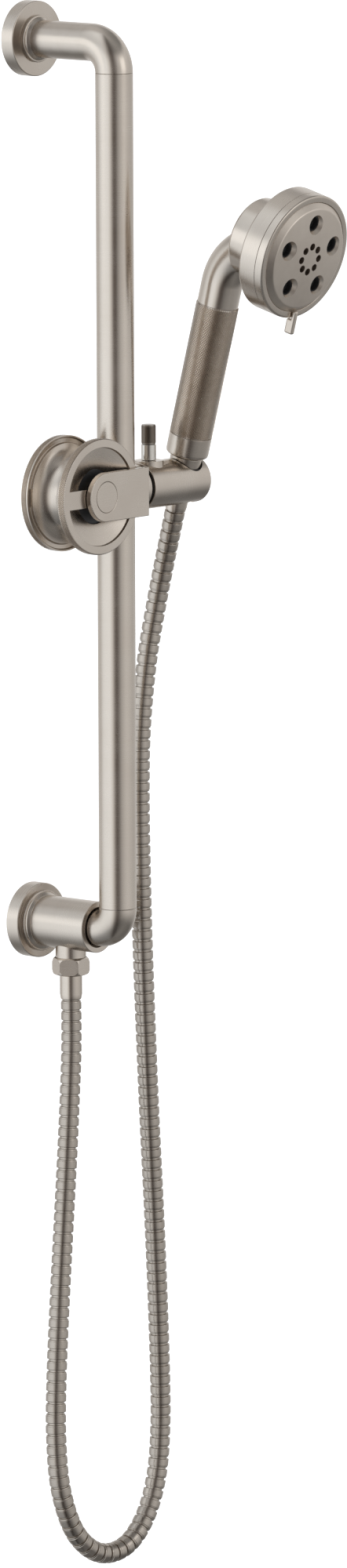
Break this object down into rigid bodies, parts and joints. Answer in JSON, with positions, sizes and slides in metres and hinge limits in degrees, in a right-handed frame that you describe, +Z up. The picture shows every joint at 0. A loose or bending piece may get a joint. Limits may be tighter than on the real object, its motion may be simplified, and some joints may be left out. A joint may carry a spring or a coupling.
{
  "type": "slide bar hand shower",
  "caption": "Wall-mounted slide bar with a pulley-wheel carriage, a barrel holder, a round knurled hand shower with a selector tab, and a looping ringed metal hose.",
  "frame": {"origin": "middle of the upper wall bracket's back face, on the wall", "axes": "+Y into the wall, +X to the right of someone facing it, +Z up along the bar"},
  "size_m": [0.1873, 0.1989, 1.0706],
  "materials": {
    "nickel": "brushed nickel plate",
    "polished": "polished nickel plate",
    "steel": "plain stainless",
    "brass": "turned",
    "rubber": "moulded",
    "white_plastic": "moulded",
    "black_plastic": "moulded"
  },
  "bodies": {
    "root": {"wall_bracket_top": "steel", "wall_bracket_bottom": "steel", "wall_screw_top_left": "steel", "wall_screw_top_right": "steel", "wall_screw_bottom_left": "steel", "wall_screw_bottom_right": "steel", "flange_top": "nickel", "flange_bottom": "nickel", "set_screw_top": "steel", "set_screw_bottom": "steel", "base_collar_top": "nickel", "base_collar_bottom": "nickel", "arm_top": "nickel", "arm_bottom": "nickel", "slide_bar": "nickel", "bar_spigot_top": "steel", "bar_spigot_bottom": "steel", "outlet_body": "nickel", "check_valve": "white_plastic", "inlet_filter": "steel", "bore_plug": "brass", "hose_washer_lower": "rubber", "hose_nut_lower": "nickel", "hose_ferrule_lower": "nickel", "hose": "nickel"},
    "carriage": {"yoke_plate_front": "nickel", "yoke_plate_rear": "nickel", "slider_body": "nickel", "guide_bush": "black_plastic", "axle_pin": "nickel", "axle_cap": "nickel", "axle_bush_front": "black_plastic", "axle_bush_rear": "black_plastic"},
    "wheel": {"pulley_wheel": "nickel"},
    "holder": {"holder_barrel": "nickel", "socket_liner": "black_plastic", "friction_washer": "white_plastic", "pivot_screw": "steel", "barrel_seal": "rubber", "lock_guide": "polished"},
    "plunger": {"lock_plunger": "steel", "lock_cap": "nickel"},
    "handset": {"cone_nut": "nickel", "hose_washer_upper": "rubber", "hose_ferrule_upper": "nickel", "grip_collar": "nickel", "inlet_nipple": "brass", "flow_regulator": "white_plastic", "knurled_grip": "nickel", "water_tube": "white_plastic", "tube_seal": "rubber", "neck_and_hub": "nickel", "head_shell": "nickel", "face_ring": "nickel", "spray_manifold": "white_plastic", "face_seal": "rubber"},
    "selector": {"spray_plate": "nickel", "nozzle_mat": "rubber", "selector_lever": "nickel", "selector_spindle": "brass"}
  },
  "joints": [
    {"name": "carriage_slide", "type": "slide", "parent": "root", "child": "carriage", "axis": [0, 0, 1], "range_m": [-0.18, 0.18], "deforming": ["hose"]},
    {"name": "wheel_turn", "type": "hinge", "parent": "carriage", "child": "wheel", "pos_m": [-0.0368, -0.078, -0.3009], "axis": [0, 1, 0], "range_deg": [-440, 440]},
    {"name": "holder_tilt", "type": "hinge", "parent": "carriage", "child": "holder", "pos_m": [0, -0.078, -0.3009], "axis": [1, 0, 0], "range_deg": [-20, 20]},
    {"name": "lock_pull", "type": "slide", "parent": "holder", "child": "plunger", "axis": [0, 0, 1], "range_m": [0, 0.003], "stiffness_N_per_m": 400, "springref_m": -0.004},
    {"name": "handset_lift", "type": "slide", "parent": "holder", "child": "handset", "axis": [0, -0.2588, 0.9659], "range_m": [0, 0.03]},
    {"name": "selector_turn", "type": "hinge", "parent": "handset", "child": "selector", "pos_m": [0.068, -0.12495, -0.12568], "axis": [0, -0.9659, -0.2588], "range_deg": [-30, 30]}
  ],
  "couplings": [
    {"joint": "wheel_turn", "follows": "carriage_slide", "rad_per_m": 41.667}
  ]
}
